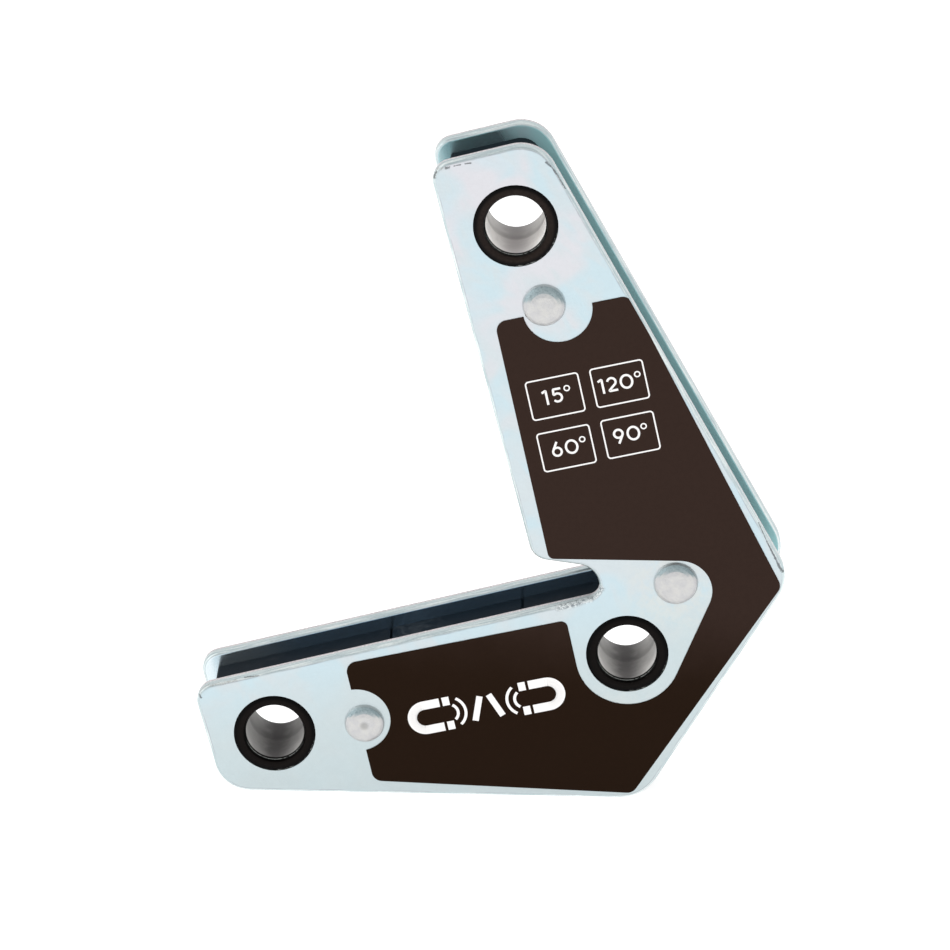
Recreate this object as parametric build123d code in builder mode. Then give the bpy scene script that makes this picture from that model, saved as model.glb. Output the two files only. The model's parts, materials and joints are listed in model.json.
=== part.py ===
from build123d import *
import os
from math import acos, atan2, cos, degrees, hypot, radians, sin

os.makedirs("parts", exist_ok=True)

# Magnetic welding holder: two steel plates riveted over ferrite magnets and moulded spacers.
# Everything flat is laid out from the inner corner, where the two arms meet at a right angle.
# u runs along the lower arm's inner edge, v along the upper arm's, both in millimetres.

# ---- plates ----
taper = 15.0                 # each arm's outer edge leans this much from its inner edge, degrees
upper_arm_length = 97.2
lower_arm_length = 75.3
upper_end_width = 22.7
lower_end_width = 23.8
heel_reach = 39.5            # inner corner to the slanting edge behind it
tip_radius = 4.0             # arm ends, on the inner side
shoulder_radius = 7.5        # arm ends, on the outer side
heel_radius = 8.5
plate_thickness = 3.0
plate_gap = 13.6             # clear space between the two plates
front_edge_round = 0.8       # both plates are struck the same way, so both roll over in front
rear_edge_round = 0.5

# ---- spatter relief: a blind slot that runs on past the inner corner along the lower arm's edge ----
relief_depth = 11.85
relief_mouth = 11.3          # up the upper arm's edge, to where the slot's sloping side starts
relief_end_height = 6.4
relief_mouth_radius = 4.2
relief_upper_radius = 4.8
relief_lower_radius = 2.6

# ---- bushes, in two halves that meet in the middle ----
bore_radius = 6.0
barrel_wall = 1.5
flange_width = 0.95          # beyond the barrel
flange_proud = 0.3
flange_round = 0.5
mouth_widening = 0.75        # how much the bore's mouth opens out
mouth_depth = 1.4
hole_inset = 13.8            # bush centre from the arm's inner edge
upper_end_to_hole = 16.0
lower_end_to_hole = 13.9
fit_clearance = 0.05         # a bush or a rivet in its hole, on the radius

# ---- rivets ----
shank_radius = 3.0
head_radius = 4.4
head_height = 1.6
head_round = 0.35
upper_hole_to_rivet = 17.4
upper_rivet_inset = 15.3
lower_hole_to_rivet = 18.7
lower_rivet_inset = 16.0
corner_rivet_u = 27.1
corner_rivet_v = -0.9

# ---- filling between the plates ----
recess = 3.2                 # filling's edge, set back from the plates' edge
rivet_to_joint = 8.4         # rivet centre to the end of its spacer
magnet_length = 28.7
magnet_width = 13.5
joint_gap = 0.1              # between neighbouring blocks
thinnest_tongue = 2.0
magnet_chamfer = 0.6

# ---- label on the front plate, stuck on slightly askew ----
label_thickness = 0.15
label_skew = -1.8            # degrees from the arms' own directions
label_left = 2.85
label_right_margin = 1.87    # in from the plate's slanting edges
label_right_lean = 0.3       # degrees less than the plate's edge beside it
label_edge_gap = 0.3         # the label is trimmed this far inside the plate's outline
label_heel_margin = 1.75
label_bottom_margin = 1.88
label_lower_top = -3.45
label_corner = 2.2
label_inner_corner = 1.4
rivet_cutout_clearance = 2.6
upper_cutout_shift = (2.46, -1.35)
lower_cutout_shift = (-1.42, 0.98)
top_below_cutout = 0.2       # the label's ends, from the centres of the rivets' cutouts
end_beside_cutout = 0.4
window_left = 3.5
window_slope = -13.0         # the window's upper edge, degrees
rivet_window_shift = (0.29, -1.95)
rivet_window_clearance = 2.4
bush_window_shift = (0.07, -0.54)
bush_window_clearance = 2.35

# ---- worked out from the sizes above ----
half_gap = plate_gap / 2
plate_face = half_gap + plate_thickness
flange_face = plate_face + flange_proud
barrel_radius = bore_radius + barrel_wall
flange_radius = barrel_radius + flange_width
upper_reach = upper_end_width * cos(radians(taper)) + upper_arm_length * sin(radians(taper))
lower_reach = lower_end_width * cos(radians(taper)) + lower_arm_length * sin(radians(taper))
upper_hole = (hole_inset, upper_arm_length - upper_end_to_hole)
corner_hole = (hole_inset, -hole_inset)
lower_hole = (lower_end_to_hole - lower_arm_length, -hole_inset)
upper_rivet_at = (upper_rivet_inset, upper_hole[1] - upper_hole_to_rivet)
corner_rivet_at = (corner_rivet_u, corner_rivet_v)
lower_rivet_at = (lower_hole[0] + lower_hole_to_rivet, -lower_rivet_inset)
holes = [upper_hole, corner_hole, lower_hole]
rivets = [upper_rivet_at, corner_rivet_at, lower_rivet_at]
upper_joint = upper_rivet_at[1] - rivet_to_joint
lower_joint = lower_rivet_at[0] + rivet_to_joint
far = 2 * (upper_arm_length + lower_arm_length)


def meet(line_a, line_b):
    """The point where two straight edges cross; each edge is (direction of its normal, reach)."""
    (angle_a, reach_a), (angle_b, reach_b) = line_a, line_b
    ax, ay = cos(radians(angle_a)), sin(radians(angle_a))
    bx, by = cos(radians(angle_b)), sin(radians(angle_b))
    cross = ax * by - ay * bx
    return ((reach_a * by - reach_b * ay) / cross, (reach_b * ax - reach_a * bx) / cross)


# the plate's straight edges, by the direction that each one faces
inner_upper_edge = (180, 0)
inner_lower_edge = (90, 0)
upper_end = (90, upper_arm_length)
outer_edge = (taper, upper_reach)
heel_edge = (-45, heel_reach)
bottom_edge = (-90 - taper, lower_reach)
lower_end = (180, lower_arm_length)


def round_corners(corners):
    """Round a sketch's corners, given as (point, radius) pairs."""
    for point, radius in corners:
        nearest = vertices().sort_by_distance((point[0], point[1], 0))[0]
        fillet(nearest, radius)


def plate_outline():
    """The plate's outline, with every corner rounded, in the sketch that is open."""
    corners = [
        (meet(inner_upper_edge, upper_end), tip_radius),
        (meet(upper_end, outer_edge), shoulder_radius),
        (meet(outer_edge, heel_edge), heel_radius),
        (meet(heel_edge, bottom_edge), heel_radius),
        (meet(bottom_edge, lower_end), shoulder_radius),
        (meet(lower_end, inner_lower_edge), tip_radius),
        ((relief_depth, 0), relief_lower_radius),
        ((relief_depth, relief_end_height), relief_upper_radius),
        ((0, relief_mouth), relief_mouth_radius),
    ]
    Polygon(*[point for point, radius in corners], align=None)
    round_corners(corners)


# The frame: X across, Z up, Y = 0 midway between the plates. The bottom edge is level at Z = 0,
# and X = 0 is the middle of the whole width.
with BuildSketch(Plane.XY.rotated((0, 0, taper))) as standing:
    plate_outline()
standing_box = standing.sketch.bounding_box()
corner_x = -(standing_box.min.X + standing_box.max.X) / 2
corner_z = -standing_box.min.Y


def arm_plane(y, skew=0.0):
    """Plane at depth y that faces the front, its axes along the arms from the inner corner."""
    turn = radians(taper + skew)
    return Plane(origin=(corner_x, y, corner_z), x_dir=(cos(turn), 0, sin(turn)), z_dir=(0, -1, 0))


def filling_outline():
    """Everything between the plates, set back from their edge."""
    plate_outline()
    offset(amount=-recess, mode=Mode.REPLACE)


# ---------------------------------------------------------------- plates
def plate_blank(back):
    """Plate with its holes, from the depth y = back forward by its thickness."""
    with BuildSketch(arm_plane(back)) as blank:
        plate_outline()
        with Locations(*holes):
            Circle(flange_radius + fit_clearance, mode=Mode.SUBTRACT)
        with Locations(*rivets):
            Circle(shank_radius + fit_clearance, mode=Mode.SUBTRACT)
    extrude(blank.sketch, amount=plate_thickness)


def outline_edges(face):
    """The edges round the outside of a plate's face, leaving its holes out."""
    return face.outer_wire().edges()


with BuildPart() as front_plate:
    plate_blank(-half_gap)
    fillet(outline_edges(front_plate.faces().sort_by(Axis.Y)[0]), front_edge_round)
    fillet(outline_edges(front_plate.faces().sort_by(Axis.Y)[-1]), rear_edge_round)
front_plate.part.label = "front_plate"

with BuildPart() as back_plate:
    plate_blank(plate_face)
    fillet(outline_edges(back_plate.faces().sort_by(Axis.Y)[0]), front_edge_round)
    fillet(outline_edges(back_plate.faces().sort_by(Axis.Y)[-1]), rear_edge_round)
back_plate.part.label = "back_plate"


# ---------------------------------------------------------------- spacers
def spacer_holes():
    """Holes for the bush barrels and the rivet shanks."""
    with Locations(*holes):
        Circle(barrel_radius + fit_clearance, mode=Mode.SUBTRACT)
    with Locations(*rivets):
        Circle(shank_radius + fit_clearance, mode=Mode.SUBTRACT)


def keep_inside(u_low, u_high, v_low, v_high):
    """Keep only what lies inside this rectangle of the sketch."""
    with Locations(((u_low + u_high) / 2, (v_low + v_high) / 2)):
        Rectangle(u_high - u_low, v_high - v_low, mode=Mode.INTERSECT)


with BuildPart() as upper_end_spacer:
    with BuildSketch(arm_plane(half_gap)):
        filling_outline()
        spacer_holes()
        keep_inside(-far, far, upper_joint + joint_gap / 2, far)
    extrude(amount=plate_gap)
upper_end_spacer.part.label = "upper_end_spacer"

with BuildPart() as lower_end_spacer:
    with BuildSketch(arm_plane(half_gap)):
        filling_outline()
        spacer_holes()
        keep_inside(-far, lower_joint - joint_gap / 2, -far, far)
    extrude(amount=plate_gap)
lower_end_spacer.part.label = "lower_end_spacer"

# Magnet seats: (left, right, bottom, top), two side by side in each arm and one across the neck.
lower_magnets_end = lower_joint + magnet_length
upper_magnets_end = upper_joint - magnet_length
neck_left = recess + 2.0
magnet_seats = {
    "lower_inner_magnet": (lower_joint, lower_magnets_end, -recess - magnet_width, -recess),
    "lower_outer_magnet": (
        lower_joint, lower_magnets_end, -recess - 2 * magnet_width, -recess - magnet_width),
    "upper_inner_magnet": (recess, recess + magnet_width, upper_magnets_end, upper_joint),
    "upper_outer_magnet": (
        recess + magnet_width, recess + 2 * magnet_width, upper_magnets_end, upper_joint),
    "neck_magnet": (
        neck_left, neck_left + magnet_length, upper_magnets_end - magnet_width, upper_magnets_end),
}


def seat_rectangle(seat, shrink, mode):
    """A magnet's rectangle, made smaller all round."""
    left, right, bottom, top = seat
    with Locations(((left + right) / 2, (bottom + top) / 2)):
        Rectangle(right - left - 2 * shrink, top - bottom - 2 * shrink, mode=mode)


# The tongues beside the magnets stop where they would become thinner than thinnest_tongue.
lean = sin(radians(taper)) / cos(radians(taper))
upper_filling_edge = (upper_reach - recess) / cos(radians(taper))
lower_filling_edge = (lower_reach - recess) / cos(radians(taper))
upper_tongue_end = (upper_filling_edge - recess - 2 * magnet_width - thinnest_tongue) / lean
lower_tongue_end = -(lower_filling_edge - recess - 2 * magnet_width - thinnest_tongue) / lean

with BuildPart() as corner_spacer:
    with BuildSketch(arm_plane(half_gap)):
        filling_outline()
        spacer_holes()
        keep_inside(lower_joint + joint_gap / 2, far, -far, upper_joint - joint_gap / 2)
        for seat in magnet_seats.values():
            seat_rectangle(seat, 0, Mode.SUBTRACT)
        with Locations(((lower_joint + lower_tongue_end) / 2, -recess - 2 * magnet_width)):
            Rectangle(lower_tongue_end - lower_joint, 2 * magnet_width, mode=Mode.SUBTRACT)
        with Locations((recess + 2 * magnet_width, (upper_tongue_end + upper_joint) / 2)):
            Rectangle(2 * magnet_width, upper_joint - upper_tongue_end, mode=Mode.SUBTRACT)
    extrude(amount=plate_gap)
corner_spacer.part.label = "corner_spacer"

# ---------------------------------------------------------------- magnets
magnets = {}
for name, seat in magnet_seats.items():
    with BuildPart() as magnet:
        with BuildSketch(arm_plane(half_gap)):
            seat_rectangle(seat, joint_gap / 2, Mode.ADD)
        extrude(amount=plate_gap)
        chamfer(magnet.edges().filter_by(Axis.Y), magnet_chamfer)
    magnet.part.label = name
    magnets[name] = magnet


# ---------------------------------------------------------------- bushes
def place_on_axis(centre):
    """Plane that holds a hole's axis: its x runs outward from the axis, its y toward the back."""
    turned = arm_plane(0).from_local_coords(Vector(centre[0], centre[1], 0))
    return Plane(origin=turned, x_dir=(1, 0, 0), z_dir=(0, 0, 1))


def bush_half(centre, facing):
    """Half a bush, from the middle of the holder to its flange. facing is -1 front, 1 back."""
    axis_plane = place_on_axis(centre)
    with BuildSketch(axis_plane) as profile:
        Polygon(
            (bore_radius, 0),
            (barrel_radius, 0),
            (barrel_radius, facing * half_gap),
            (flange_radius, facing * half_gap),
            (flange_radius, facing * flange_face),
            (bore_radius + mouth_widening, facing * flange_face),
            (bore_radius, facing * (flange_face - mouth_depth)),
            align=None,
        )
        round_corners([((flange_radius, facing * flange_face), flange_round)])
    revolve(profile.sketch, axis=Axis(axis_plane.origin, (0, 1, 0)))


bush_places = {"upper": upper_hole, "corner": corner_hole, "lower": lower_hole}
bushes = {}
for place, centre in bush_places.items():
    for side, facing in {"front": -1, "back": 1}.items():
        with BuildPart() as half:
            bush_half(centre, facing)
        half.part.label = f"{place}_bush_{side}"
        bushes[half.part.label] = half


# ---------------------------------------------------------------- rivets
rivet_places = {"upper": upper_rivet_at, "corner": corner_rivet_at, "lower": lower_rivet_at}
rivet_parts = {}
for place, centre in rivet_places.items():
    with BuildPart() as rivet:
        with BuildSketch(arm_plane(plate_face)):
            with Locations(centre):
                Circle(shank_radius)
        extrude(amount=2 * plate_face)
        for back in (plate_face + head_height, -plate_face):
            with BuildSketch(arm_plane(back)):
                with Locations(centre):
                    Circle(head_radius)
            extrude(amount=head_height)
        ends = rivet.faces().sort_by(Axis.Y)
        fillet(ends[0].edges() + ends[-1].edges(), head_round)
    rivet.part.label = f"{place}_rivet"
    rivet_parts[rivet.part.label] = rivet


# ---------------------------------------------------------------- label
def on_label(point, shift):
    """Where a point of the plate falls on the skewed label, moved by the label's own shift there."""
    turn = radians(-label_skew)
    return (
        point[0] * cos(turn) - point[1] * sin(turn) + shift[0],
        point[0] * sin(turn) + point[1] * cos(turn) + shift[1],
    )


upper_cutout = on_label(upper_rivet_at, upper_cutout_shift)
lower_cutout = on_label(lower_rivet_at, lower_cutout_shift)
rivet_window = on_label(corner_rivet_at, rivet_window_shift)
bush_window = on_label(corner_hole, bush_window_shift)
cutout_radius = head_radius + rivet_cutout_clearance
rivet_window_radius = head_radius + rivet_window_clearance
bush_window_radius = flange_radius + bush_window_clearance
label_top = upper_cutout[1] - top_below_cutout
label_end = lower_cutout[0] + end_beside_cutout
label_outer = (taper - label_right_lean, upper_reach - label_right_margin)
label_heel = (-45, heel_reach - label_heel_margin)
label_bottom = (-90 - taper, lower_reach - label_bottom_margin)
window_top = (90 + window_slope, rivet_window[0] * -sin(radians(window_slope))
              + rivet_window[1] * cos(radians(window_slope)) + rivet_window_radius)

# the window's outer side is a straight tangent from the bush's arc to the rivet's arc
window_run = (rivet_window[0] - bush_window[0], rivet_window[1] - bush_window[1])
narrowing = acos((bush_window_radius - rivet_window_radius) / hypot(*window_run))
tangent_angle = degrees(atan2(window_run[1], window_run[0]) - narrowing)
bush_arc_sweep = 180 + tangent_angle
rivet_arc_sweep = 90 + window_slope - tangent_angle


def label_outline():
    """The label's outline: a band down the upper arm, round the corner and along the lower arm."""
    outer_corners = [
        ((label_left, label_top), label_corner),
        (meet((90, label_top), label_outer), label_corner),
        (meet(label_outer, label_heel), label_corner),
        (meet(label_heel, label_bottom), label_corner),
        (meet(label_bottom, (180, -label_end)), label_corner),
        ((label_end, label_lower_top), label_corner),
    ]
    inner_corners = [
        ((window_left, label_lower_top), label_inner_corner),
        (meet((180, -label_left), window_top), label_inner_corner),
    ]
    with BuildLine() as rim:
        bush_arc = CenterArc(bush_window, bush_window_radius, 180, bush_arc_sweep)
        rivet_arc = CenterArc(rivet_window, rivet_window_radius, tangent_angle, rivet_arc_sweep)
        Line(inner_corners[0][0], bush_arc @ 0)
        Line(bush_arc @ 1, rivet_arc @ 0)
        Line(rivet_arc @ 1, inner_corners[1][0])
        Polyline(
            inner_corners[1][0], *[point for point, radius in outer_corners], inner_corners[0][0])
    make_face(rim.edges())
    round_corners(outer_corners + inner_corners)
    with Locations(upper_cutout, lower_cutout):
        Circle(cutout_radius, mode=Mode.SUBTRACT)


with BuildPart() as front_label:
    with BuildSketch(arm_plane(-plate_face, label_skew)):
        label_outline()
    extrude(amount=label_thickness)
    with BuildSketch(arm_plane(-plate_face)):
        plate_outline()
        offset(amount=-label_edge_gap, mode=Mode.REPLACE)
    extrude(amount=label_thickness, mode=Mode.INTERSECT)
front_label.part.label = "front_label"

# ---------------------------------------------------------------- files
finished = [front_plate, back_plate, upper_end_spacer, corner_spacer, lower_end_spacer, front_label]
finished += list(magnets.values()) + list(bushes.values()) + list(rivet_parts.values())
for piece in finished:
    export_step(piece.part, f"parts/{piece.part.label}.step")
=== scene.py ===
import json
from math import atan2, cos, radians, sin

import bmesh
import bpy
from mathutils import Matrix, Vector


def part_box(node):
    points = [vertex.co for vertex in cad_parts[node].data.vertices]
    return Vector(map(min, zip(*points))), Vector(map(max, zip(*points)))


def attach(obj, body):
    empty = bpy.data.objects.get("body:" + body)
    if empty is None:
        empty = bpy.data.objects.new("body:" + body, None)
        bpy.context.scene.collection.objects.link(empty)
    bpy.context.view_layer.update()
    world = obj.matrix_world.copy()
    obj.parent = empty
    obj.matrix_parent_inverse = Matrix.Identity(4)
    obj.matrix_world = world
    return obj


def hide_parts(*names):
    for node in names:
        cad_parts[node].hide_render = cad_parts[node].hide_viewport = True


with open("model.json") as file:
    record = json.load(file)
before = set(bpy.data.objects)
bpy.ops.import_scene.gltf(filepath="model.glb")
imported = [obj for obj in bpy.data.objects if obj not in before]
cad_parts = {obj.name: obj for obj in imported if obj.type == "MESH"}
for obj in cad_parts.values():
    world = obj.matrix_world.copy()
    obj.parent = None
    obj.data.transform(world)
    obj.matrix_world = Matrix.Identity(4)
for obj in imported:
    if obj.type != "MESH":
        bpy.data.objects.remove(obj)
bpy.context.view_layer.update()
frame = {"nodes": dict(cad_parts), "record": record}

# Magnetic welding holder: two zinc-plated plates riveted over ferrite magnets and black spacers,
# with three bored bushes, three rivets and a printed label on the front plate.
MM = 0.001
scene = bpy.context.scene
mounts = {mount["name"]: mount for mount in frame["record"]["mounts"]}

# ---- where things are: everything flat is measured from the inner corner, u along the lower arm
# and v up the upper arm, in millimetres; the corner and both directions come from the three bores
HOLE_INSET = 13.8
upper_bore, corner_bore, lower_bore = (
    Vector(mounts[name]["pos_m"]) for name in ("upper_bore", "corner_bore", "lower_bore"))
along_u = (corner_bore - lower_bore).normalized()
along_v = (upper_bore - corner_bore).normalized()
inner_corner = corner_bore + HOLE_INSET * MM * (along_v - along_u)
ARM_TURN = atan2(along_u.z, along_u.x)
LABEL_SKEW = radians(-1.8)

# levels from the middle of the holder outwards, in millimetres
plate_low, plate_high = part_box("front_plate")
PLATE_FACE = -plate_low.y / MM
INNER_FACE = -plate_high.y / MM
LABEL_FACE = -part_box("front_label")[0].y / MM
flange_low, flange_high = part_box("upper_bush_front")
CROWN = -flange_low.y / MM
FLANGE = (flange_high.x - flange_low.x) / 2 / MM
BORE = mounts["upper_bore"]["dims"]["r_mm"]
UNEVENNESS = 0.05                       # room left for the heads' pressed surface
HEAD_TOP = -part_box("upper_rivet")[0].y / MM - UNEVENNESS
bores = {"upper": upper_bore, "corner": corner_bore, "lower": lower_bore}


# ---------------------------------------------------------------- node trees
class Signal:
    """An output socket of a tree. Arithmetic on it adds Math nodes."""

    def __init__(self, nodes, socket):
        self.nodes, self.socket = nodes, socket

    def __add__(self, other):
        return self.nodes.math("ADD", self, other)

    __radd__ = __add__

    def __sub__(self, other):
        return self.nodes.math("SUBTRACT", self, other)

    def __rsub__(self, other):
        return self.nodes.math("SUBTRACT", other, self)

    def __mul__(self, other):
        return self.nodes.math("MULTIPLY", self, other)

    __rmul__ = __mul__

    def __truediv__(self, other):
        return self.nodes.math("DIVIDE", self, other)

    def __rtruediv__(self, other):
        return self.nodes.math("DIVIDE", other, self)


class Nodes:
    """A node tree that is being built."""

    def __init__(self, tree):
        self.tree = tree

    def add(self, kind, settings=None, sockets=None, output=0):
        """Add a node: its settings first, then the value or the link of each socket."""
        node = self.tree.nodes.new(kind)
        for name, value in (settings or {}).items():
            setattr(node, name, value)
        for key, value in (sockets or {}).items():
            if isinstance(value, Signal):
                self.tree.links.new(value.socket, node.inputs[key])
            else:
                node.inputs[key].default_value = value
        return Signal(self, node.outputs[output]) if node.outputs else None

    def also(self, signal, output):
        """Another output of the node that a signal comes from."""
        return Signal(self, signal.socket.node.outputs[output])

    def math(self, operation, *values, clamp=False):
        return self.add("ShaderNodeMath", {"operation": operation, "use_clamp": clamp},
                        dict(enumerate(values)))

    def lowest(self, a, b):
        return self.math("MINIMUM", a, b)

    def highest(self, a, b):
        return self.math("MAXIMUM", a, b)

    def size(self, a):
        return self.math("ABSOLUTE", a)

    def step(self, value, start, end):
        """0 up to start, 1 from end on, smooth between them; start may be the higher one."""
        return self.add("ShaderNodeMapRange", {"interpolation_type": "SMOOTHSTEP"},
                        {"Value": value, "From Min": start, "From Max": end})

    def blend(self, factor, a, b):
        """Colour a where factor is 0, b where it is 1."""
        return self.add("ShaderNodeMix", {"data_type": "RGBA"}, {0: factor, 6: a, 7: b}, 2)

    def shade(self, colour, factor):
        """A colour times a number."""
        return self.add("ShaderNodeVectorMath", {"operation": "SCALE"}, {0: colour, 3: factor})

    def xyz(self, vector):
        x = self.add("ShaderNodeSeparateXYZ", None, {0: vector})
        return x, self.also(x, 1), self.also(x, 2)


def grey(value):
    return (value, value, value, 1.0)


class Finish(Nodes):
    """A material for one finish, with the arms' coordinates in millimetres."""

    def __init__(self, name, centre=None):
        self.material = bpy.data.materials.new(name)
        self.material.use_nodes = True
        super().__init__(self.material.node_tree)
        self.tree.nodes.clear()
        raw = self.add("ShaderNodeTexCoord", None, None, "Object")
        turned = Matrix.Rotation(ARM_TURN, 3, "Y")
        origin = turned @ (inner_corner if centre is None else centre) / MM
        self.place = self.add(
            "ShaderNodeMapping", None,
            {"Vector": raw, "Location": -origin, "Rotation": (0, ARM_TURN, 0),
             "Scale": (1 / MM,) * 3})
        self.u, self.y, self.v = self.xyz(self.place)

    def stretched(self, scale, turn=0.0):
        """The coordinates turned in the plate's plane and then scaled, for drawn-out patterns."""
        turned = self.add("ShaderNodeMapping", None,
                          {"Vector": self.place, "Rotation": (0, turn, 0)})
        return self.add("ShaderNodeMapping", None, {"Vector": turned, "Scale": scale})

    def noise(self, scale, detail, rough, vector=None, warp=0.0):
        return self.add("ShaderNodeTexNoise", None, {
            "Vector": self.place if vector is None else vector, "Scale": scale,
            "Detail": detail, "Roughness": rough, "Distortion": warp})

    def cells(self, scale):
        return self.add("ShaderNodeTexVoronoi", None, {"Vector": self.place, "Scale": scale})

    def facing(self):
        """The surface's own direction: to the right, across the plates and up."""
        return self.xyz(self.add("ShaderNodeNewGeometry", None, None, "Normal"))

    def reach(self, u, v):
        """How far (u, v) lies from the middle."""
        return self.math("SQRT", u * u + v * v)

    def spot(self, u, v, radius):
        """1 at (u, v), fading to 0 at the radius."""
        return self.step(self.reach(self.u - u, self.v - v), radius, 0.0)

    def stroke(self, start, end, width, ragged):
        """1 on a straight scratch between two points, 0 beside it; ragged wears its edge."""
        run_u, run_v = end[0] - start[0], end[1] - start[1]
        length = run_u * run_u + run_v * run_v
        du, dv = self.u - start[0], self.v - start[1]
        share = self.math("MULTIPLY", du * run_u + dv * run_v, 1 / length, clamp=True)
        off_u, off_v = du - share * run_u, dv - share * run_v
        return self.step(self.reach(off_u, off_v) + ragged, width, width * 0.35)

    def bump(self, height, strength, distance, under=None):
        sockets = {"Height": height, "Strength": strength, "Distance": distance}
        if under is not None:
            sockets["Normal"] = under
        return self.add("ShaderNodeBump", None, sockets)

    def done(self, **sockets):
        """Finish with a principled surface and give the material."""
        surface = self.add("ShaderNodeBsdfPrincipled", None,
                           {key.replace("_", " "): value for key, value in sockets.items()})
        self.add("ShaderNodeOutputMaterial", None, {"Surface": surface})
        return self.material


# ---------------------------------------------------------------- finishes
# marks on the front plate, each a start, an end and half a width, in u and v
SLOT_BLOWS = (((2.6, -0.35), (9.3, -0.1), 1.15), ((9.3, -0.1), (11.9, 1.6), 1.1))
DARK_CHIPS = (
    ((3.25, 96.1), (3.9, 96.15), 0.36), ((5.0, 96.2), (6.3, 96.14), 0.15),
    ((7.2, 96.1), (8.3, 96.0), 0.2), ((0.7, 95.2), (1.4, 95.9), 0.2),
    ((0.6, 94.7), (0.8, 95.2), 0.3), ((22.78, 92.6), (23.75, 91.1), 0.24),
    ((23.75, 91.1), (24.4, 89.2), 0.2), ((24.4, 89.2), (25.2, 86.4), 0.15),
    ((46.45, 8.0), (47.2, 3.6), 0.11), ((47.2, 3.6), (48.35, -2.0), 0.22),
    ((48.35, -2.0), (48.9, -3.7), 0.36), ((-74.3, -1.7), (-74.1, -2.4), 0.24),
    ((-64.2, -0.22), (-61.1, -0.48), 0.13))
FAINT_CHIPS = (
    ((1.0, 96.3), (3.2, 96.3), 0.5), ((-74.0, -0.9), (-72.0, 0.1), 0.7),
    ((-69.5, -0.45), (-67.6, -0.5), 0.25), ((-72.0, -0.3), (-66.0, -0.4), 0.3))


def chips(f, runs, ragged):
    """1 on small chips and scratches."""
    marks = 0.0
    for start, end, width in runs:
        marks = f.highest(marks, f.stroke(start, end, width, ragged * min(width, 0.5)))
    return marks


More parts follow.
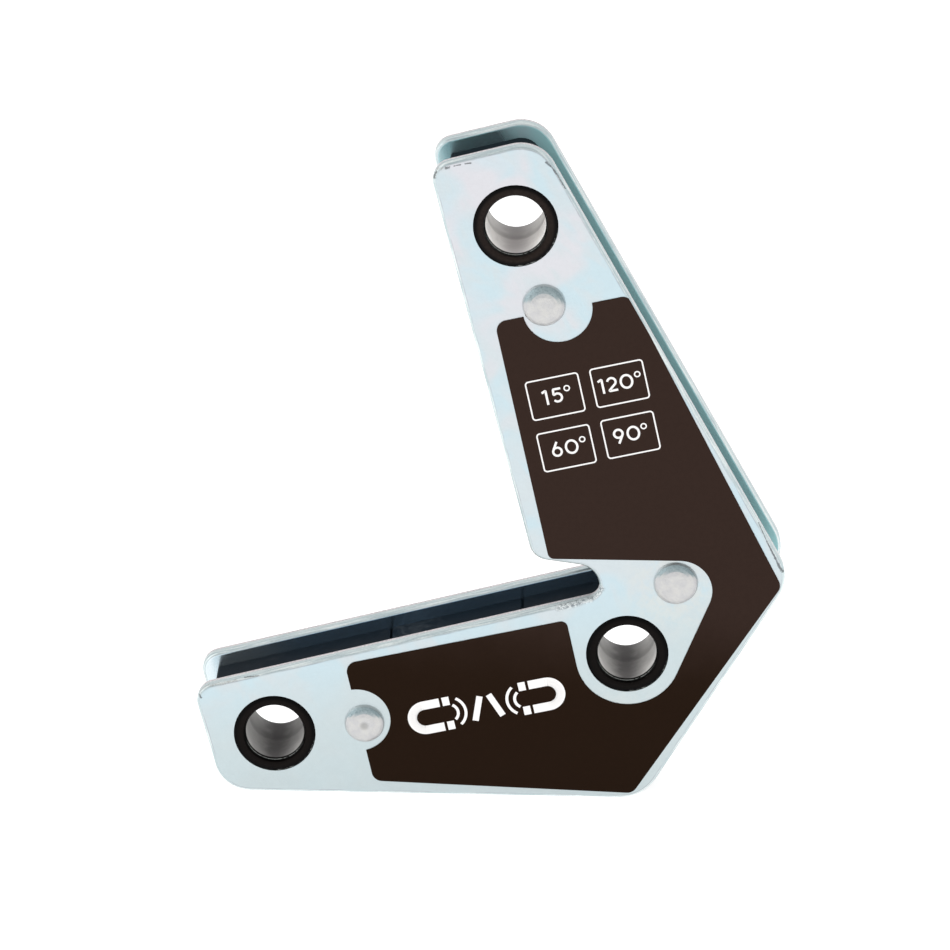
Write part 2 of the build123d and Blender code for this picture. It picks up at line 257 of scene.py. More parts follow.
def zinc_finish():
    """Blue-passivated zinc on sheared plate: soft mottling, drawn edges, chips and scuffed spots.
    """
    f = Finish("zinc_plate")
    patches = f.noise(0.085, 2.0, 0.5, warp=0.8)
    streaks = f.noise(0.16, 3.0, 0.6, vector=f.stretched((1.0, 1.0, 0.45), radians(20)), warp=0.5)
    small = f.noise(0.55, 4.0, 0.65)
    grain = f.noise(2.6, 3.0, 0.6)
    pink, sky, plain = (0.635, 0.635, 0.668, 1), (0.53, 0.65, 0.70, 1), (0.575, 0.635, 0.66, 1)
    cream, greyer = (0.62, 0.635, 0.61, 1), (0.53, 0.605, 0.62, 1)
    upper = f.step(f.v + (patches - 0.5) * 90, 35.0, 95.0)
    face = f.blend(f.step(patches, 0.40, 0.60), sky, f.blend(upper, plain, pink))
    face = f.blend(f.step(streaks, 0.50, 0.68) * 0.8, face, plain)
    face = f.blend(f.step(f.v, 2.0, -16.0) * 0.85, face, greyer)
    corner_warm = f.spot(26.0, -2.0, 14.0) + f.spot(9.0, -30.0, 16.0) * 0.5
    face = f.blend(corner_warm * f.step(small, 0.35, 0.6) * 0.8, face, cream)
    face = f.shade(face, 0.925 + small * 0.09 + grain * 0.05)

    # the plates' sides: burnished nearest the front, torn and pinkish behind, fine lines along
    facing = f.size(f.facing()[1])
    side = f.step(facing, 0.6, 0.2)
    rolled = f.step(facing, 0.992, 0.93)
    behind = f.math("FLOORED_MODULO", f.y + PLATE_FACE, PLATE_FACE + INNER_FACE)
    lines = f.noise(1.0, 4.0, 0.7, vector=f.stretched((0.10, 3.4, 0.10)))
    fleck = f.noise(2.4, 4.0, 0.75)
    torn = f.step(behind + (fleck - 0.5) * 1.6, 1.5, 2.1) * side
    drawn = f.blend(f.step(lines, 0.42, 0.60), (0.48, 0.57, 0.59, 1), (0.79, 0.85, 0.84, 1))
    drawn = f.shade(drawn, 1.0 - side * 0.10 + (fleck - 0.5) * 0.5)
    rough = f.blend(f.step(fleck, 0.36, 0.60), (0.42, 0.40, 0.42, 1), (0.80, 0.745, 0.75, 1))
    colour = f.blend(rolled * 0.9, face, drawn)
    colour = f.blend(torn, colour, rough)
    rim_line = f.step(facing, 0.999, 0.985) * f.step(facing, 0.90, 0.96) * f.step(lines, 0.42, 0.6)
    colour = f.blend(rim_line * 0.5, colour, (0.27, 0.28, 0.33, 1))

    # the rolled edge is coarser where the slot was struck
    front = f.step(f.y, 1.2 - PLATE_FACE, 0.6 - PLATE_FACE)
    blows = [f.stroke(*blow, (small - 0.5) * 1.4) for blow in SLOT_BLOWS]
    struck = f.highest(*blows) * front
    coarse = f.noise(1.5, 4.0, 0.8)
    colour = f.blend(struck * 0.75, colour, f.blend(
        f.step(coarse, 0.40, 0.56), (0.20, 0.23, 0.25, 1), (0.80, 0.84, 0.84, 1)))

    # inside faces are bright and smooth and mirror the dark filling
    outward = f.u * cos(ARM_TURN) + f.v * sin(ARM_TURN)
    inside = f.step(f.size(f.y), INNER_FACE + 0.12, INNER_FACE + 0.03)
    inside = inside * f.step(facing, 0.93, 0.99)
    murk = f.step(f.noise(0.35, 4.0, 0.7), 0.42, 0.62)
    teal = f.blend(f.step(f.v, 30.0, 4.0) * f.step(f.u, 24.0, 14.0),
                   (0.36, 0.62, 0.64, 1), (0.40, 0.57, 0.72, 1))
    top_shade = f.step(f.v, 78.0, 88.0) * f.step(f.u, 23.0, 19.0) * (0.55 + murk * 0.45)
    teal = f.blend(top_shade, teal, (0.40, 0.56, 0.60, 1))
    teal = f.blend(f.step(outward, -50.0, -66.0), teal, (0.72, 0.80, 0.84, 1))
    teal = f.blend(f.step(f.u, 7.0, 2.5) * f.step(f.v, 70.0, 80.0), teal, (0.44, 0.60, 0.63, 1))
    colour = f.blend(inside, colour, teal)
    dusty = f.highest(f.step(f.v, 74.0, 94.0) * 0.2, f.step(outward, 36.0, 42.0))
    dusty = dusty * inside

    # chips and scuffed spots on the front
    rag = (f.noise(2.6, 3.0, 0.75) - 0.5) * 3.0
    dark, faint = chips(f, DARK_CHIPS, rag), chips(f, FAINT_CHIPS, rag)
    dark, faint = dark * front, faint * front * f.step(fleck, 0.4, 0.6)
    colour = f.blend(faint * 0.5, colour, (0.30, 0.27, 0.25, 1))
    colour = f.blend(dark * 0.75, colour, (0.07, 0.075, 0.08, 1))

    rough_value = 0.30 + small * 0.10 + side * 0.12 + struck * 0.15 + dark * 0.2
    rough_value = rough_value * (1 - inside) + inside * (0.15 + dusty * 0.3)
    relief = f.bump(grain * (1 - inside) + lines * rolled * 1.5 + fleck * torn * 2.0, 0.12, 0.0004)
    relief = f.bump(coarse * struck * 2.0 + small * (1 - inside) * 0.5, 0.25, 0.0006, relief)
    return f.done(Base_Color=colour, Metallic=1.0 - dark * 0.6 - inside * 0.05 - dusty * 0.3,
                  Roughness=rough_value, Normal=relief)


def rivet_finish(name, centre, shade_start, dimpled):
    """Zinc-plated rivet steel, pressed flat: warmer than the plates, with painted light and shade
    on the head.

    The shoulder gets a painted dark reflection where it looks up more than shade_start.
    """
    f = Finish(name, centre)
    patches = f.noise(0.45, 3.0, 0.6)
    cloud = f.noise(1.1, 4.0, 0.7, warp=0.5)
    grain = f.noise(3.0, 4.0, 0.65)
    colour = f.blend(f.step(patches, 0.35, 0.65), (0.60, 0.60, 0.61, 1), (0.68, 0.675, 0.66, 1))
    colour = f.shade(colour, 0.83 + grain * 0.08 + cloud * 0.10)
    aside, facing, up = f.facing()
    # painted dark reflection on the up-facing shoulder, in flecks and darker on the right side
    shoulder = f.step(f.size(facing), 0.995, 0.93) * f.step(up, shade_start, shade_start + 0.2)
    edge = f.step(f.size(facing), 0.55, 0.35)
    painted_dark_reflection = f.step(f.noise(2.6, 4.0, 0.75), 0.46, 0.66) + f.step(aside, 0.1, 0.45) * 0.7
    painted_dark_reflection = shoulder * f.lowest(painted_dark_reflection, 1.0) * (1 - edge)
    colour = f.blend(shoulder * 0.8, colour, (0.30, 0.41, 0.44, 1))
    colour = f.blend(painted_dark_reflection * 0.5, colour, (0.14, 0.19, 0.21, 1))
    # painted highlight on the head's side
    colour = f.blend(edge * 0.8, colour, (0.80, 0.83, 0.83, 1))
    radius = f.reach(f.u, f.v)
    # painted shade in the lower rivet's dimple; on the others a faint random mottle
    dimple_shade_and_mottle = f.step(radius, 1.2, 0.4) * 0.5 if dimpled else cloud * 0.1
    colour = f.blend(dimple_shade_and_mottle, colour, (0.24, 0.24, 0.23, 1))
    relief = f.bump(grain + cloud * 2.0, 0.2, 0.0005)
    return f.done(Base_Color=colour, Metallic=0.95, Roughness=0.32 + patches * 0.15,
                  Normal=relief)


def bush_finish(name, bore, lit, deep, depth):
    """Black-brown moulding; its bore's grey is a painted reflection, darkest along the lowest line
    as painted shade.

    lit and deep are the bore's painted grey at the sides and along that line; depth darkens the
    flange as painted shade.
    """
    f = Finish(name, Vector((bore.x, 0, bore.z)))
    radius = f.reach(f.u, f.v)
    across = (f.u * cos(ARM_TURN) - f.v * sin(ARM_TURN)) / radius
    sideways = f.size(across)
    height = (f.u * sin(ARM_TURN) + f.v * cos(ARM_TURN)) / radius
    in_bore = f.step(radius, BORE + 0.05, BORE + 0.02)
    grain = f.noise(1.6, 3.0, 0.6)
    streak = f.noise(0.5, 3.0, 0.55)
    flecks = f.noise(1.3, 4.0, 0.75)
    colour = f.blend(f.step(grain, 0.3, 0.75),
                     (0.0145, 0.0098, 0.0082, 1), (0.022, 0.016, 0.0135, 1))
    # painted shade: near black on the flange's rounded outer edge and down the mouth's lead-in,
    # then depth darkens the whole flange further as painted shade
    rim_shade = f.highest(f.step(radius, BORE + 1.25, BORE + 2.1),
                    f.step(radius, BORE + 0.6, BORE + 0.3))
    colour = f.shade(f.blend(rim_shade, colour, (0.0022, 0.0020, 0.0022, 1)), depth)
    # painted highlights on the bead below the hole and on the flange's lower edge
    low_side = f.step(height, -0.25, -0.7)
    bead = f.step(f.size(radius - BORE - 0.19), 0.09, 0.04) * low_side
    edge = f.step(f.size(radius - BORE - 2.3), 0.22, 0.06) * f.step(across, -0.45, 0.1)
    edge = edge * f.step(height, 0.0, -0.4) * f.step(flecks, 0.52, 0.60)
    painted_highlights = bead * f.step(flecks, 0.36, 0.56) * 0.55 + edge * 0.6
    colour = f.blend(painted_highlights, colour, (0.42, 0.44, 0.42, 1))
    # painted reflection: the bore's grey, light at the sides and darker along the lowest line as
    # painted shade
    wall_colour = f.blend(f.step(sideways + (streak - 0.5) * 0.3, 0.05, 0.95),
                          (deep, deep * 0.95, deep * 0.95, 1), (lit, lit * 0.985, lit * 0.96, 1))
    # painted light growing towards the front mouth, and painted shade in the crease where the
    # halves meet
    near = f.step(f.y, 0.7, -0.4)
    crease = f.step(f.size(f.y - 1.4), 2.6, 0.0) * 0.16
    wall_colour = f.shade(wall_colour, 0.76 - crease + near * 0.22 + f.step(f.y, 8.0, 1.0) * 0.06
                          + f.step(f.y, -4.0, -8.0) * 0.1 + grain * 0.06)
    colour = f.blend(in_bore, colour, wall_colour)
    relief = f.bump(grain + streak, 0.1, 0.0004)
    return f.done(Base_Color=colour, Roughness=0.26 + grain * 0.12 + in_bore * 0.2, Normal=relief,
                  Specular_IOR_Level=0.06)


def spacer_finish():
    """Dull black moulding with smears left from fitting."""
    f = Finish("spacer_plastic")
    cloud = f.noise(0.25, 4.0, 0.6)
    grain = f.noise(2.2, 3.0, 0.6)
    cool = f.blend(cloud, (0.003, 0.007, 0.012, 1), (0.008, 0.013, 0.019, 1))
    warm = f.blend(cloud, (0.006, 0.004, 0.004, 1), (0.014, 0.009, 0.008, 1))
    colour = f.blend(f.step(f.y, 2.0, -5.5), cool, warm)
    smear = f.step(f.noise(0.3, 4.0, 0.65), 0.54, 0.74) * 0.35
    colour = f.blend(smear, colour, (0.05, 0.055, 0.06, 1))
    relief = f.bump(grain, 0.2, 0.0003)
    return f.done(Base_Color=colour, Roughness=0.55 + smear * 0.2, Normal=relief,
                  Specular_IOR_Level=0.06)


def ferrite_finish():
    """Ground charcoal ferrite with fine pores and a little glue."""
    f = Finish("ferrite")
    cloud = f.noise(0.3, 4.0, 0.6)
    pores = f.cells(2.4)
    lines = f.noise(1.0, 3.0, 0.6, vector=f.stretched((0.2, 2.5, 0.2)))
    cool = f.blend(cloud, (0.003, 0.008, 0.014, 1), (0.009, 0.016, 0.024, 1))
    warm = f.blend(cloud, (0.006, 0.004, 0.004, 1), (0.016, 0.010, 0.009, 1))
    colour = f.blend(f.step(f.y, 2.0, -5.5), cool, warm)
    colour = f.shade(colour, 0.7 + lines * 0.6)
    smear = f.step(f.noise(0.22, 4.0, 0.7, warp=1.0), 0.45, 0.7)
    smear = smear * f.step(f.u, -36.0, -32.0) * f.step(f.u, -20.0, -27.0) * 0.7
    colour = f.blend(smear, colour, (0.055, 0.065, 0.075, 1))
    relief = f.bump(f.step(pores, 0.0, 0.3) + lines, 0.2, 0.0003)
    return f.done(Base_Color=colour, Roughness=0.5 + cloud * 0.15, Normal=relief,
                  Specular_IOR_Level=0.06)


def vinyl_finish():
    """Dark brown printed vinyl, blacker and warmer lower down."""
    f = Finish("label_vinyl")
    grain = f.noise(3.2, 4.0, 0.7)
    cloud = f.noise(0.12, 3.0, 0.55)
    fibre = f.noise(0.9, 4.0, 0.65)
    height = f.step(f.v + f.u * 0.35 + (cloud - 0.5) * 10, -20.0, 6.0)
    colour = f.blend(height, (0.0155, 0.0068, 0.0028, 1), (0.0335, 0.0190, 0.0145, 1))
    colour = f.shade(colour, 0.78 + grain * 0.22 + fibre * 0.22)
    relief = f.bump(grain, 0.12, 0.0001)
    return f.done(Base_Color=colour, Roughness=0.55 + cloud * 0.1, Normal=relief,
                  Specular_IOR_Level=0.05)


def ink_finish():
    """White screen ink with a little grain."""
    f = Finish("white_ink")
    grain = f.noise(3.0, 3.0, 0.6)
    colour = f.blend(grain, (0.95, 0.93, 0.92, 1), (1.0, 0.99, 0.98, 1))
    return f.done(Base_Color=colour, Roughness=0.5 + grain * 0.1, Specular_IOR_Level=0.2)


# for each bush: its bore's painted grey at the sides and at the bottom, and the flange's
# brightness under painted shade (1 for none)
BUSH_SHADES = {
    "upper": (0.98, 0.46, 1.0), "corner": (0.76, 0.16, 0.25), "lower": (0.52, 0.12, 0.3)}
RIVET_SHADE_START = {"upper": 0.02, "corner": 0.16, "lower": 0.16}
DIMPLED = "lower"


def rivet_axis(place):
    """Where a rivet's axis crosses the middle of the holder."""
    low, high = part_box(f"{place}_rivet")
    return Vector(((low.x + high.x) / 2, 0.0, (low.z + high.z) / 2))


zinc = zinc_finish()
spacer_black = spacer_finish()
ferrite = ferrite_finish()
vinyl = vinyl_finish()
ink = ink_finish()
rivet_steel = {place: rivet_finish(f"rivet_{place}", rivet_axis(place), RIVET_SHADE_START[place],
                                   place == DIMPLED) for place in bores}
bush_black = {place: bush_finish(f"bush_{place}", bore, *BUSH_SHADES[place])
              for place, bore in bores.items()}


def finish_node(node, material):
    mesh = frame["nodes"][node].data
    mesh.materials.clear()
    mesh.materials.append(material)


for node in frame["nodes"]:
    if node.endswith("plate"):
        finish_node(node, zinc)
    elif node.endswith("spacer"):
        finish_node(node, spacer_black)
    elif node.endswith("magnet"):
        finish_node(node, ferrite)
    elif node.endswith("rivet"):
        finish_node(node, rivet_steel[node.split("_")[0]])
    elif "bush" in node:
        finish_node(node, bush_black[node.split("_")[0]])
    else:
        finish_node(node, vinyl)


# ---------------------------------------------------------------- shapes made by rule
def start_tree(name, sockets):
    """A geometry tree with a mesh in, a mesh out and named inputs."""
    tree = bpy.data.node_groups.new(name, "GeometryNodeTree")
    tree.interface.new_socket("Geometry", in_out="OUTPUT", socket_type="NodeSocketGeometry")
    sockets = {"Geometry": "Geometry", **sockets,
               "Place": "Vector", "Turn": "Vector", "Material": "Material"}
    for label, kind in sockets.items():
        tree.interface.new_socket(label, in_out="INPUT", socket_type="NodeSocket" + kind)
    nodes = Nodes(tree)
    start = nodes.add("NodeGroupInput")
    return nodes, {label: nodes.also(start, label) for label in sockets}


def end_tree(nodes, given, shape):
    """Bring the shape to metres and to its place, smooth its gentle edges and give its finish."""
    shape = nodes.add("GeometryNodeTransform", None, {
        "Geometry": shape, "Translation": given["Place"], "Rotation": given["Turn"],
        "Scale": (MM, MM, MM)})
    shape = nodes.add("GeometryNodeSetShadeSmooth", {"domain": "FACE"}, {0: shape, 2: True})
    bend = nodes.add("GeometryNodeInputMeshEdgeAngle")
    gentle = nodes.math("LESS_THAN", bend, radians(32))
    shape = nodes.add("GeometryNodeSetShadeSmooth", {"domain": "EDGE"}, {0: shape, 2: gentle})
    shape = nodes.add("GeometryNodeRealizeInstances", None, {"Geometry": shape})
    shape = nodes.add("GeometryNodeSetMaterial", None,
                      {"Geometry": shape, "Material": given["Material"]})
    nodes.add("NodeGroupOutput", None, {"Geometry": shape})
    return nodes.tree


def turned_tree():
    """Turns a profile, radius across and height up, about its axis; makes it slightly uneven."""
    nodes, given = start_tree("turned_piece", {
        "Steps": "Int", "Corner steps": "Int", "Wobble": "Float", "Wobble scale": "Float",
        "Seed": "Float"})
    profile = nodes.add("GeometryNodeMeshToCurve", None, {"Mesh": given["Geometry"]})
    rounding = nodes.add("GeometryNodeInputNamedAttribute", {"data_type": "FLOAT"},
                         {"Name": "round"})
    profile = nodes.add("GeometryNodeFilletCurve", {"mode": "POLY"}, {
        "Curve": profile, "Count": given["Corner steps"], "Radius": rounding,
        "Limit Radius": True})
    turn = nodes.add("GeometryNodeCurvePrimitiveCircle", {"mode": "RADIUS"},
                     {"Resolution": given["Steps"], "Radius": 0.0001})
    shape = nodes.add("GeometryNodeCurveToMesh", None, {"Curve": turn, "Profile Curve": profile})
    shape = nodes.add("GeometryNodeMergeByDistance", None, {"Geometry": shape, "Distance": 0.001})
    uneven = nodes.add("ShaderNodeTexNoise", {"noise_dimensions": "4D"}, {
        "Vector": nodes.add("GeometryNodeInputPosition"), "W": given["Seed"],
        "Scale": given["Wobble scale"], "Detail": 2.0})
    push = nodes.add("ShaderNodeVectorMath", {"operation": "SCALE"}, {
        0: nodes.add("GeometryNodeInputNormal"), 3: (uneven - 0.5) * given["Wobble"]})
    shape = nodes.add("GeometryNodeSetPosition", None, {"Geometry": shape, "Offset": push})
    return end_tree(nodes, given, shape)


def stroke_tree():
    """Lays a flat band of ink along each line, with its corners rounded."""
    nodes, given = start_tree("printed_line", {
        "Line width": "Float", "Ink depth": "Float", "Corner radius": "Float",
        "Corner steps": "Int"})
    line = nodes.add("GeometryNodeMeshToCurve", None, {"Mesh": given["Geometry"]})
    line = nodes.add("GeometryNodeFilletCurve", {"mode": "POLY"}, {
        "Curve": line, "Count": given["Corner steps"], "Radius": given["Corner radius"],
        "Limit Radius": True})
    line = nodes.add("GeometryNodeSetCurveNormal", {"mode": "Z_UP"}, {"Curve": line})
    band = nodes.add("GeometryNodeCurvePrimitiveQuadrilateral", {"mode": "RECTANGLE"},
                     {"Width": given["Line width"], "Height": given["Ink depth"]})
    shape = nodes.add("GeometryNodeCurveToMesh", None,
                      {"Curve": line, "Profile Curve": band, "Fill Caps": True})
    return end_tree(nodes, given, shape)


RUN_LIFT = 0.003                        # so that runs which cross never lie in one plane


def line_mesh(name, lines):
    """Edges through runs of points, each run (points, closed).

    A point is (x, y), or (x, y, round) with the radius that its corner is rounded to.
    """
    places, edges, rounds = [], [], []
    for number, (points, closed) in enumerate(lines):
        first = len(places)
        lift = RUN_LIFT * (number % 3)
        places += [(point[0], point[1], lift) for point in points]
        rounds += [point[2] if len(point) > 2 else 0.0 for point in points]
        edges += [(first + i, first + i + 1) for i in range(len(points) - 1)]
        if closed:
            edges.append((len(places) - 1, first))
    mesh = bpy.data.meshes.new(name)
    mesh.from_pydata(places, edges, [])
    mesh.attributes.new("round", "FLOAT", "POINT").data.foreach_set("value", rounds)
    return mesh


def made_by(tree, name, start, slot, **sizes):
    """Run a tree on a starting mesh and keep what it gives as a plain mesh on the body."""
    sockets = {item.name: item.identifier for item in tree.interface.items_tree
               if item.in_out == "INPUT"}
    holder = bpy.data.objects.new(name + "_start", start)
    scene.collection.objects.link(holder)
    modifier = holder.modifiers.new("shape", "NODES")
    modifier.node_group = tree
    for label, value in sizes.items():
        modifier[sockets[label.replace("_", " ")]] = value
    graph = bpy.context.evaluated_depsgraph_get()
    mesh = bpy.data.meshes.new_from_object(holder.evaluated_get(graph), depsgraph=graph)
    holder.modifiers.remove(modifier)
    bpy.data.objects.remove(holder)
    form = bmesh.new()
    form.from_mesh(mesh)
    if form.calc_volume(signed=True) < 0:
        bmesh.ops.reverse_faces(form, faces=form.faces)
        form.to_mesh(mesh)
    form.free()
    mesh.name = name
    piece = bpy.data.objects.new(name, mesh)
    scene.collection.objects.link(piece)
    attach(piece, "root")
    return piece


turned_shape = turned_tree()
printed_line = stroke_tree()
FRONTWARD = (radians(90), 0.0, 0.0)
BACKWARD = (radians(-90), 0.0, 0.0)

# ---- bush halves: a crowned flange, a thin bead round the mouth and a long lead into the bore
BARREL = BORE + 1.5
SEAT = INNER_FACE + 0.02
bush_profile = [
    (BORE + 0.03, 0.005), (BORE, 0.04), (BORE, 4.4), (BORE, CROWN - 1.9, 0.2),
    (BORE + 0.11, CROWN - 1.02, 0.05), (BORE + 0.25, CROWN - 0.98, 0.05),
    (BORE + 0.36, CROWN - 0.5, 0.15), (BORE + 0.52, CROWN - 0.12, 0.1),
    (BORE + 1.0, CROWN, 0.25), (FLANGE - 0.85, CROWN - 0.02, 0.3),
    (FLANGE - 0.25, CROWN - 0.16, 0.25), (FLANGE, CROWN - 0.45, 0.15),
    (FLANGE, SEAT), (BARREL, SEAT), (BARREL, 3.4), (BARREL, 0.02)]
for number, (place, bore) in enumerate(bores.items()):
    for side, turn in (("front", FRONTWARD), ("back", BACKWARD)):
        node = f"{place}_bush_{side}"
        half = made_by(
            turned_shape, node + "_moulding", line_mesh(node + "_profile", [(bush_profile, True)]),
            "bush_nylon", Steps=128, Corner_steps=3, Wobble=0.03, Wobble_scale=0.35,
            Seed=3.0 + number, Place=(bore.x, 0.0, bore.z), Turn=turn,
            Material=bush_black[place])
        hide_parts(node)

# ---- rivets: pressed heads, each one spread a little differently
SHANK = 3.0
HEAD_SPREAD = {"upper": 4.46, "corner": 4.66, "lower": 4.25}


def head_profile(spread, dimple):
    """From the shank out and up over one head to its middle."""
    top = HEAD_TOP - 0.03
    middle = [(0.75, top - 0.04), (0.45, top - 0.2), (0.0, top - 0.26)] if dimple else [(0.0, top)]
    seat = PLATE_FACE + 0.01
    return [(SHANK, PLATE_FACE - 2.9), (SHANK, seat), (spread, seat),
            (spread - 0.04, PLATE_FACE + 0.22, 0.1), (spread - 0.28, top - 0.78, 0.25),
            (spread - 0.85, top - 0.42, 0.5), (spread - 1.55, top - 0.17, 0.7),
            (spread - 2.35, top, 0.8), (1.0, top)] + middle


for number, place in enumerate(bores):
    node = f"{place}_rivet"
    front = head_profile(HEAD_SPREAD[place], place == DIMPLED)
    rear = head_profile(HEAD_SPREAD[place] - 0.08, False)
    profile = [(point[0], -point[1], *point[2:]) for point in reversed(rear)] + front
    pressed = made_by(
        turned_shape, node + "_pressed", line_mesh(node + "_profile", [(profile, False)]),
        "rivet_steel", Steps=96, Corner_steps=3, Wobble=0.16, Wobble_scale=0.32,
        Seed=11.0 + number, Place=rivet_axis(place), Turn=FRONTWARD, Material=rivet_steel[place])
    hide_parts(node)

# ---- print on the label: four angle boxes with their numbers, and a plain magnet mark
INK_DEPTH = 0.04
print_place = (inner_corner.x, -(LABEL_FACE + 0.25 * INK_DEPTH) * MM, inner_corner.z)
print_turn = (radians(90), -(ARM_TURN + LABEL_SKEW), 0.0)
print_sizes = {"Ink_depth": INK_DEPTH, "Place": print_place, "Turn": print_turn, "Material": ink}


def arc(u, v, radius, start, end, steps, squash=1.0):
    """Points round (u, v) from one angle to another, in degrees."""
    angles = [radians(start + (end - start) * i / steps) for i in range(steps + 1)]
    return [(u + radius * squash * cos(a), v + radius * sin(a)) for a in angles]


def ring(u, v, radius, squash=1.0):
    """A closed run of 24 points round (u, v)."""
    return arc(u, v, radius, 0, 360 - 360 / 24, 23, squash), True


def box_line(u, v, width, height):
    half_u, half_v = width / 2, height / 2
    return [(u - half_u, v - half_v), (u + half_u, v - half_v),
            (u + half_u, v + half_v), (u - half_u, v + half_v)], True


DIGIT_HEIGHT = 3.3


def digit(symbol, u, v):
    """The middle line of a digit; (u, v) is the middle of its foot."""
    if symbol == "0":
        return [ring(u, v + DIGIT_HEIGHT / 2, 1.36, 0.85)]
    if symbol == "1":
        return [([(u - 0.78, v + 2.66), (u + 0.05, v + 3.08), (u + 0.05, v)], False)]
    if symbol == "2":
        bowl = arc(u - 0.02, v + 2.15, 0.84, 165, -38, 14)
        return [(bowl + [(u - 0.92, v + 0.3), (u + 1.0, v + 0.3)], False)]
    if symbol == "5":
        bowl = arc(u - 0.05, v + 1.16, 0.86, 138, -148, 18)
        neck = [(u + 0.84, v + 3.0), (u - 0.66, v + 3.0), (u - 0.78, v + 1.76)]
        return [(neck + bowl[1:], False)]
    loop = ring(u, v + 1.17, 0.87)
    tail = [(u - 0.753, v + 1.605), (u + 0.226, v + DIGIT_HEIGHT)]
    if symbol == "6":
        return [loop, (tail, False)]
    return [([(2 * u - x, 2 * v + DIGIT_HEIGHT - y) for x, y in points], closed)
            for points, closed in (loop, (tail, False))]


# each box: its middle, its number, the digits' places and foot, the degree ring's middle
BOX_WIDTH, BOX_HEIGHT, DEGREE_RADIUS = 10.7, 8.28, 0.54
ANGLE_BOXES = (
    ((11.45, 44.82), "15", (9.7, 11.95), 43.4, (14.08, 46.13)),
    ((24.68, 44.85), "120", (21.2, 23.15, 26.12), 43.38, (28.54, 46.09)),
    ((11.38, 33.5), "60", (9.43, 12.46), 31.98, (14.87, 34.75)),
    ((24.6, 33.62), "90", (22.24, 25.24), 32.24, (27.56, 34.92)))
frames, digits, degree_signs = [], [], []
for (u, v), symbols, places, foot, sign in ANGLE_BOXES:
    frames.append(box_line(u, v, BOX_WIDTH, BOX_HEIGHT))
    for symbol, place in zip(symbols, places):
        digits += digit(symbol, place, foot)
    degree_signs.append(ring(*sign, DEGREE_RADIUS))


def print_on_label(name, lines, width, corner, steps):
    made_by(printed_line, name, line_mesh(name, lines), "label_vinyl",
            Line_width=width, Corner_radius=corner, Corner_steps=steps, **print_sizes)


print_on_label("angle_boxes", frames, 0.3, 0.62, 6)
print_on_label("angle_numbers", digits, 0.46, 0.12, 3)
print_on_label("degree_rings", degree_signs, 0.27, 0.0, 1)

# a horseshoe magnet at each end, its field drawn towards two plates that lean together between
MARK_U, MARK_V = -16.6, -18.7
BOW_RADIUS, BOW_MIDDLE = 2.75, 12.9
bows, poles, field, joint = [], [], [], []
for hand in (-1, 1):
    def mirrored(points):
        return [(MARK_U + hand * u, MARK_V + v) for u, v in points], False

    bend = arc(BOW_MIDDLE, 0, BOW_RADIUS, 78, -78, 18)
    bows.append(mirrored([(9.4, BOW_RADIUS), (BOW_MIDDLE, BOW_RADIUS)] + bend
                         + [(BOW_MIDDLE, -BOW_RADIUS), (9.4, -BOW_RADIUS)]))
    for v in (BOW_RADIUS, -BOW_RADIUS):
        poles.append(mirrored([(8.8, v), (7.3, v)]))
    for radius in (2.0, 3.6):
        field.append(mirrored(arc(8.0, 0, radius, 125, 235, 14)))
    joint.append(mirrored([(2.9, -2.8), (0.95, 2.4)]))
for name, lines, width in (("magnet_bows", bows, 1.9), ("magnet_poles", poles, 1.9),
                           ("field_lines", field, 0.6), ("joint_sign", joint, 1.3)):
    print_on_label(name, lines, width, 0.3, 4)


# ---------------------------------------------------------------- studio
FLOOR_GLOW = 0.77
DIMMING = 0.25


def soft_floor(half=4.0):
    """A pale floor that glows enough to come out white."""
    mesh = bpy.data.meshes.new("floor")
    mesh.from_pydata([(-half, -half, 0), (half, -half, 0), (half, half, 0), (-half, half, 0)],
                     [], [(0, 1, 2, 3)])
    floor = bpy.data.objects.new("floor", mesh)
    scene.collection.objects.link(floor)
    f = Finish("studio_floor")
    cloud = f.noise(0.01, 2.0, 0.5)
    colour = f.blend(cloud, grey(0.53), grey(0.55))
    mesh.materials.append(f.done(Base_Color=colour, Roughness=0.8, Emission_Color=grey(1.0),
                                 Emission_Strength=FLOOR_GLOW))


soft_floor()

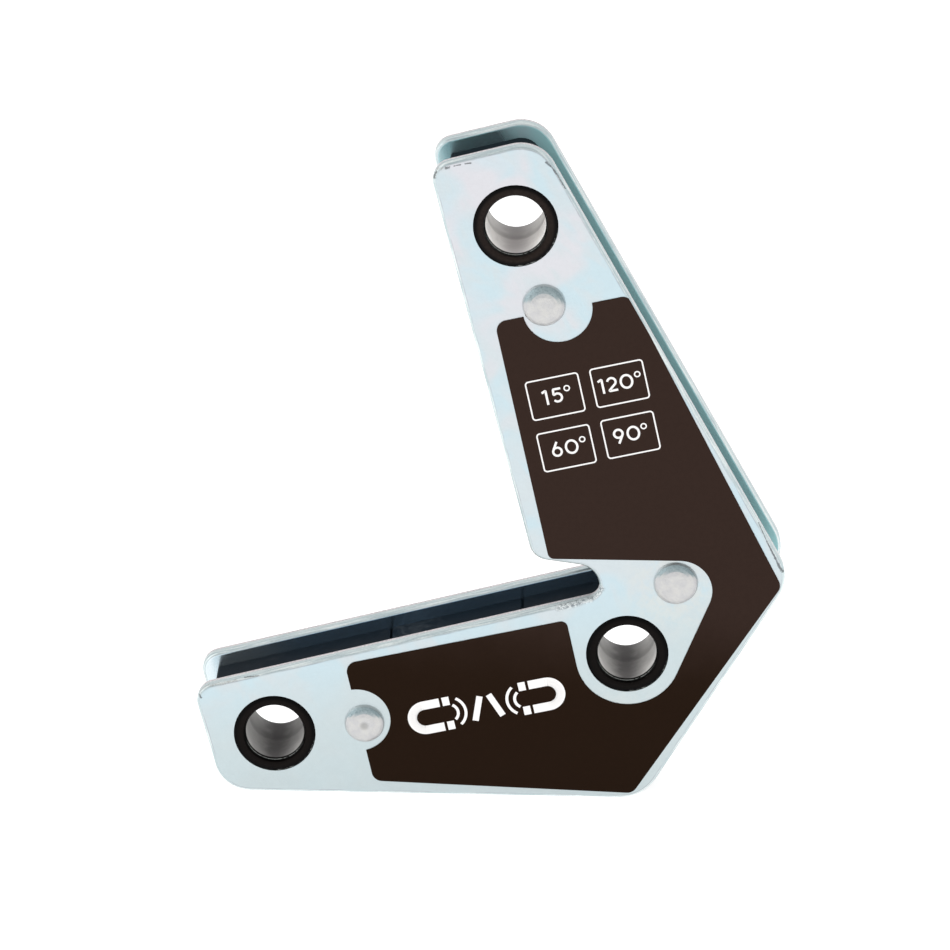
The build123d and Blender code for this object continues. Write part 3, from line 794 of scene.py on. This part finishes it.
# white all round, dimmer above and in front of the holder
world = bpy.data.worlds.new("studio")
world.use_nodes = True
scene.world = world
world.node_tree.nodes.clear()
dome = Nodes(world.node_tree)
_, back, up = dome.xyz(dome.add("ShaderNodeTexCoord", None, None, "Generated"))
dimmed = dome.step(up * 0.77 - back * 0.64, 0.45, 0.95)
dome_light = dome.add("ShaderNodeBackground", None, {
    "Color": grey(1.0), "Strength": 1.0 - dimmed * DIMMING})
dome.add("ShaderNodeOutputWorld", None, {"Surface": dome_light})


def softbox(name, place, aim, size, power):
    """A rectangular lamp at a place, turned towards an aim."""
    light = bpy.data.lights.new(name, "AREA")
    light.shape = "RECTANGLE"
    light.size, light.size_y = size
    light.energy = power
    lamp = bpy.data.objects.new(name, light)
    scene.collection.objects.link(lamp)
    lamp.location = place
    lamp.rotation_euler = (Vector(aim) - Vector(place)).to_track_quat("-Z", "Y").to_euler()


softbox("left_window", (-1.1, -0.5, 0.7), (0, 0, 0.07), (0.6, 0.8), 2.0)

# ---- camera: a long lens a little above the holder, tipped slightly
CAMERA_AZIMUTH = radians(0.5324)
CAMERA_ELEVATION = radians(20.9003)
CAMERA_ROLL = radians(0.8831)
CAMERA_DISTANCE = 0.90257
CAMERA_AIM = Vector((-0.003508, 0.0, 0.067727))
CAMERA_LENS = 166.755
ahead = Vector((-sin(CAMERA_AZIMUTH) * cos(CAMERA_ELEVATION),
                cos(CAMERA_AZIMUTH) * cos(CAMERA_ELEVATION), -sin(CAMERA_ELEVATION)))
level = ahead.cross(Vector((0, 0, 1))).normalized()
upright = level.cross(ahead)
rightward = level * cos(CAMERA_ROLL) + upright * sin(CAMERA_ROLL)
upward = upright * cos(CAMERA_ROLL) - level * sin(CAMERA_ROLL)
lens = bpy.data.cameras.new("camera")
lens.sensor_width = 36.0
lens.lens = CAMERA_LENS
lens.clip_start, lens.clip_end = 0.05, 20.0
camera = bpy.data.objects.new("camera", lens)
scene.collection.objects.link(camera)
pose = Matrix((rightward, upward, -ahead)).transposed().to_4x4()
pose.translation = CAMERA_AIM - ahead * CAMERA_DISTANCE
camera.matrix_world = pose
scene.camera = camera
scene.view_settings.view_transform = "Standard"
